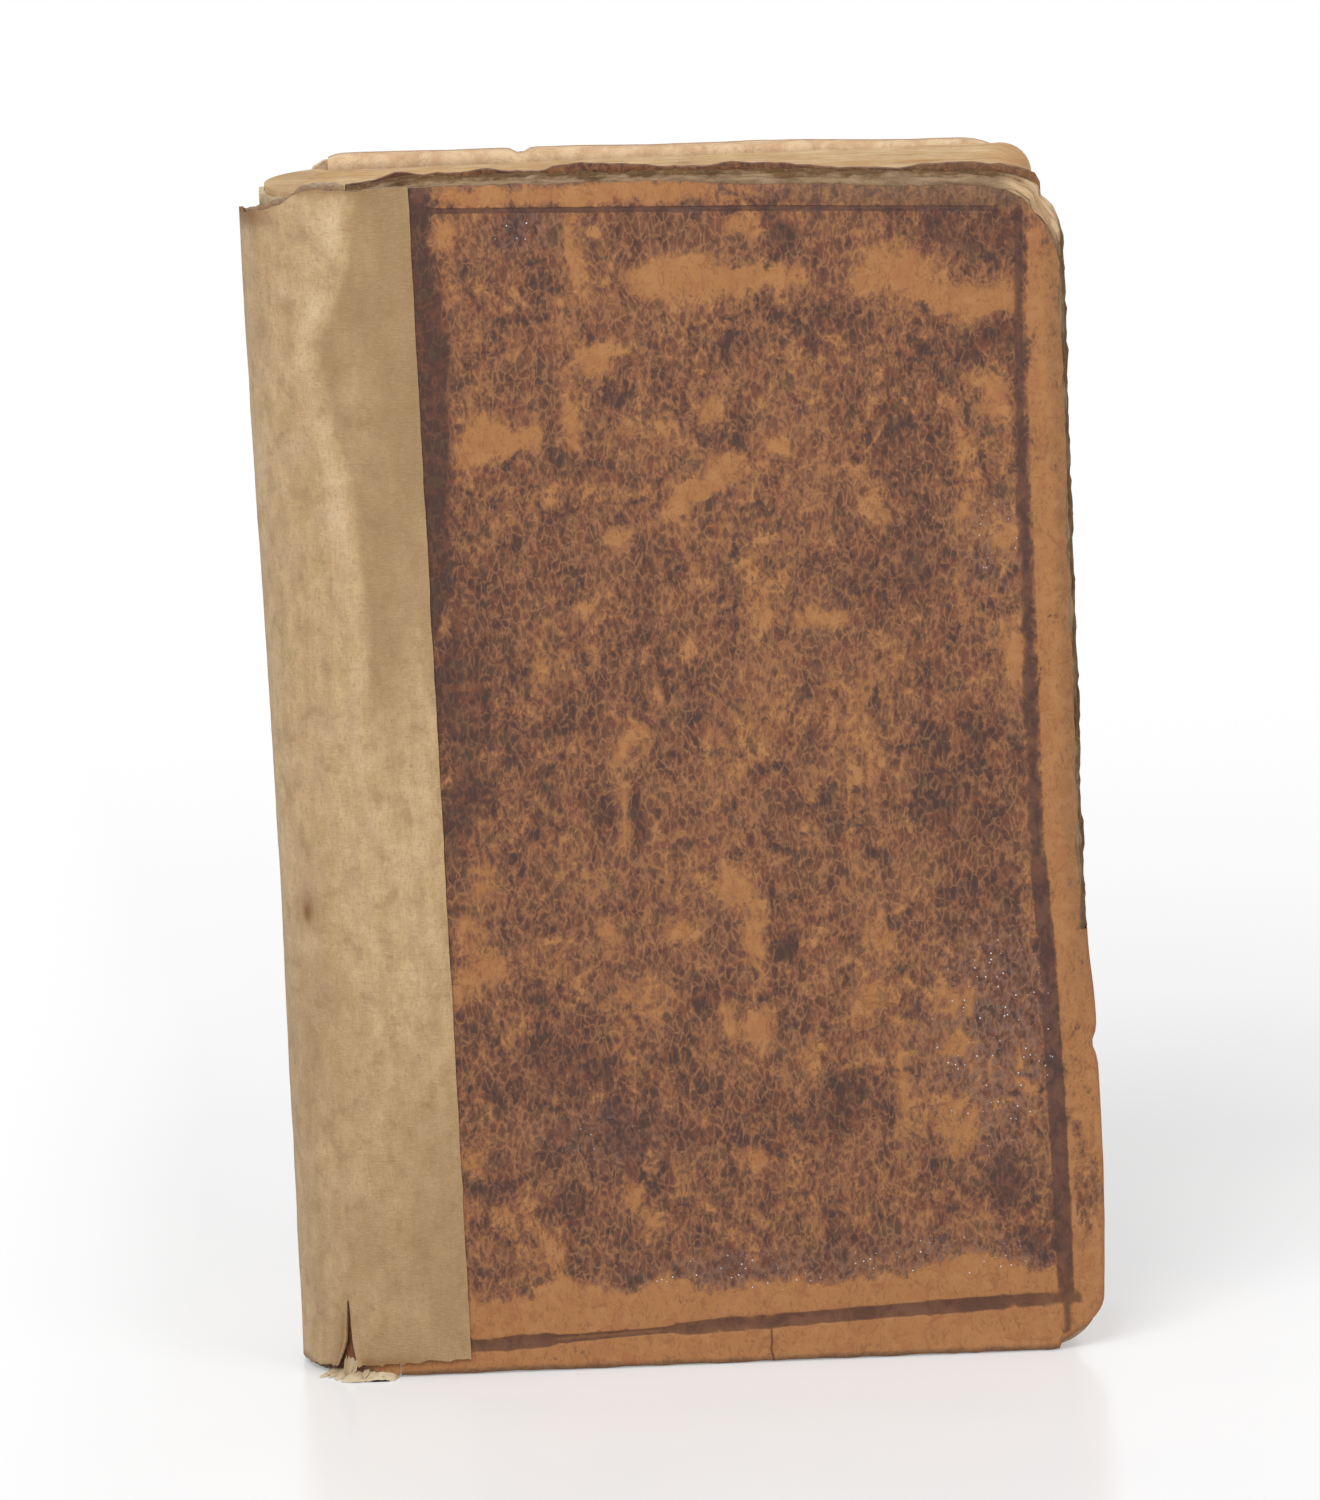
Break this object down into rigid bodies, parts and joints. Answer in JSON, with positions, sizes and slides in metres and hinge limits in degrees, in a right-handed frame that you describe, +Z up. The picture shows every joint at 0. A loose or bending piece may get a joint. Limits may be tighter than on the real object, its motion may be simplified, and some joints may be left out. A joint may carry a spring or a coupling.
{
  "type": "hardback book",
  "caption": "Small old hardback book standing on its tail: worn calf over boards, rounded sewn text block, tan cloth repair strip round the spine, and two covers that open.",
  "frame": {"origin": "under the middle of the closed book's box, on the surface that it stands on", "axes": "+Z up along the spine towards the head, +X from the spine to the fore-edge, +Y from the front cover to the back cover"},
  "size_m": [0.1208, 0.0286, 0.181],
  "materials": {
    "leaves": "matt old laid paper, browned towards its edges",
    "cord": "matt twisted hemp",
    "lining": "matt waste paper stiffened with glue",
    "calf": "glossy dark brown surface, crackled and rubbed through to matt tan",
    "cloth": "matt tan linen, soiled",
    "pasteboard": "matt grey-tan pasteboard, soft and layered at the worn edges",
    "endpaper": "matt laid paper, stained brown by the leather at its edges"
  },
  "bodies": {
    "text": {"text_block": "leaves", "sewing_cord_1": "cord", "sewing_cord_2": "cord", "sewing_cord_3": "cord", "sewing_cord_4": "cord", "spine_lining": "lining", "spine_leather": "calf", "spine_strip": "cloth"},
    "front_cover": {"front_board": "pasteboard", "front_leather": "calf", "front_strip": "cloth", "front_pastedown": "endpaper"},
    "back_cover": {"back_board": "pasteboard", "back_leather": "calf", "back_strip": "cloth", "back_pastedown": "endpaper"}
  },
  "joints": [
    {"name": "front_hinge", "type": "hinge", "parent": "text", "child": "front_cover", "pos_m": [-0.04568, -0.0144, 0.09], "axis": [0, 0, -1], "range_deg": [0, 180]},
    {"name": "back_hinge", "type": "hinge", "parent": "text", "child": "back_cover", "pos_m": [-0.04868, 0.0144, 0.09], "axis": [0, 0, 1], "range_deg": [0, 180]}
  ]
}
